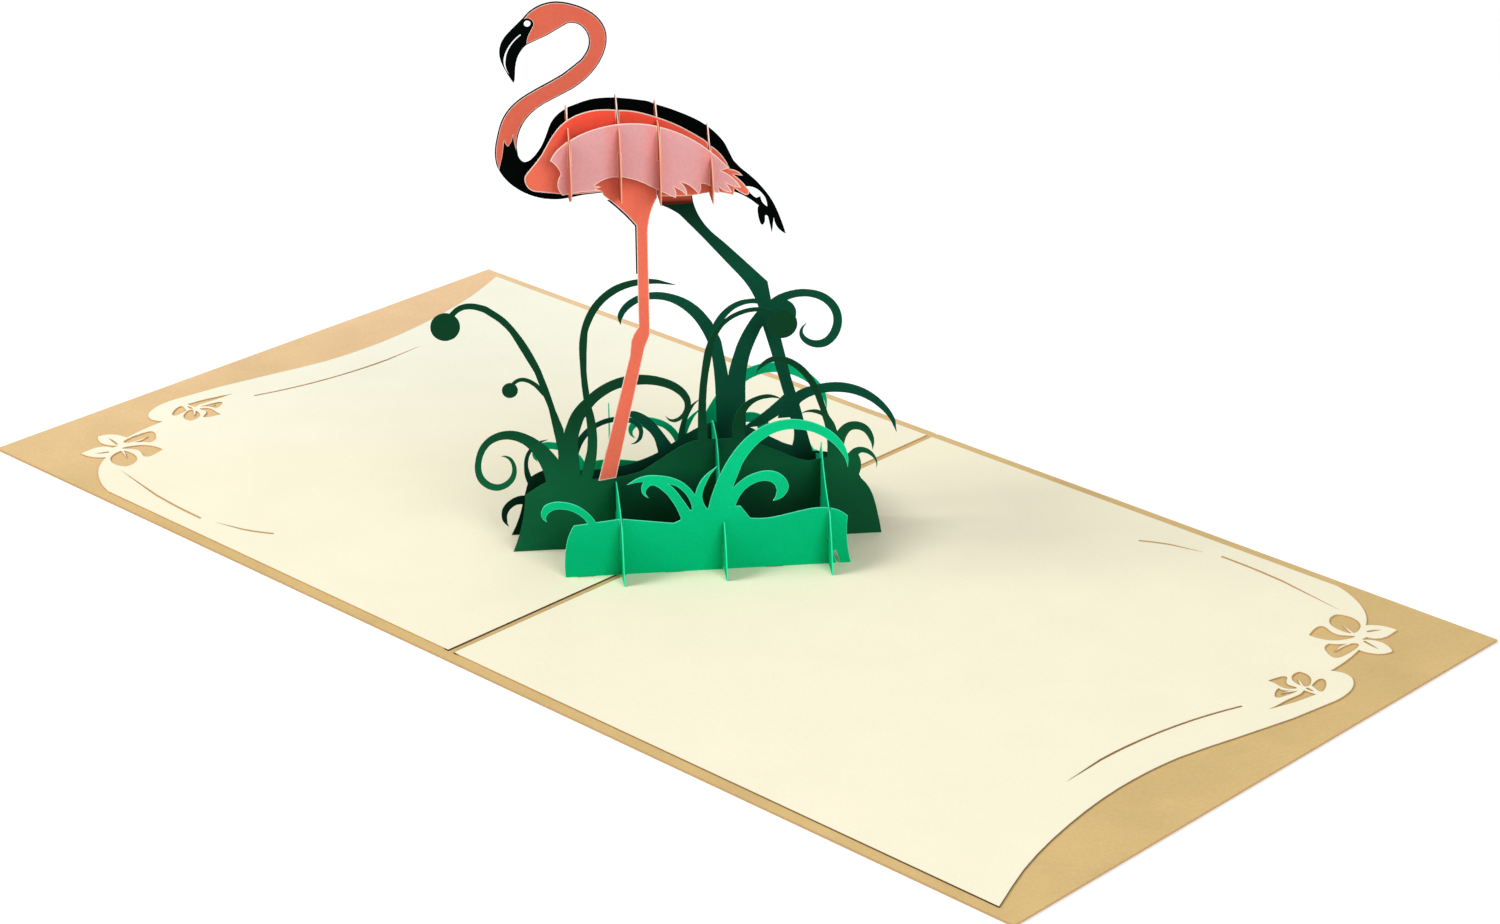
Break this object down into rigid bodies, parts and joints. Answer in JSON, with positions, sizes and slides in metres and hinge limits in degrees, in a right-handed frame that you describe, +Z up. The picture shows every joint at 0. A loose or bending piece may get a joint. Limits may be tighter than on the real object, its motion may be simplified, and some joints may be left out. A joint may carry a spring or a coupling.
{
  "type": "pop-up greeting card",
  "caption": "Open greeting card with a slotted paper pop-up of a flamingo standing in reeds and grass.",
  "frame": {"origin": "centre of the open card, on the underside of the cover", "axes": "+X across the fold to the right half, +Y along the fold to the back, +Z up out of the open card"},
  "size_m": [0.3, 0.15, 0.1202],
  "materials": {
    "tan_card": "matt card",
    "cream_paper": "matt paper",
    "light_green_paper": "matt paper",
    "dark_green_paper": "matt paper",
    "coral_paper": "matt paper",
    "pink_paper": "matt paper",
    "black_paper": "matt paper"
  },
  "bodies": {
    "root": {"cover": "tan_card", "left_liner": "cream_paper", "right_liner": "cream_paper", "front_grass": "light_green_paper", "rear_grass": "light_green_paper", "front_reeds": "dark_green_paper", "rear_reeds": "dark_green_paper", "left_grass_rib": "light_green_paper", "middle_grass_rib": "light_green_paper", "right_grass_rib": "light_green_paper", "bird_outline": "black_paper", "near_neck_patch": "coral_paper", "far_neck_patch": "coral_paper", "near_body_slice": "coral_paper", "far_body_slice": "coral_paper", "near_leg_backing": "black_paper", "near_wing": "pink_paper", "far_wing": "pink_paper", "breast_rib": "pink_paper", "shoulder_rib": "pink_paper", "hip_rib": "pink_paper", "tail_rib": "pink_paper"}
  },
  "joints": []
}
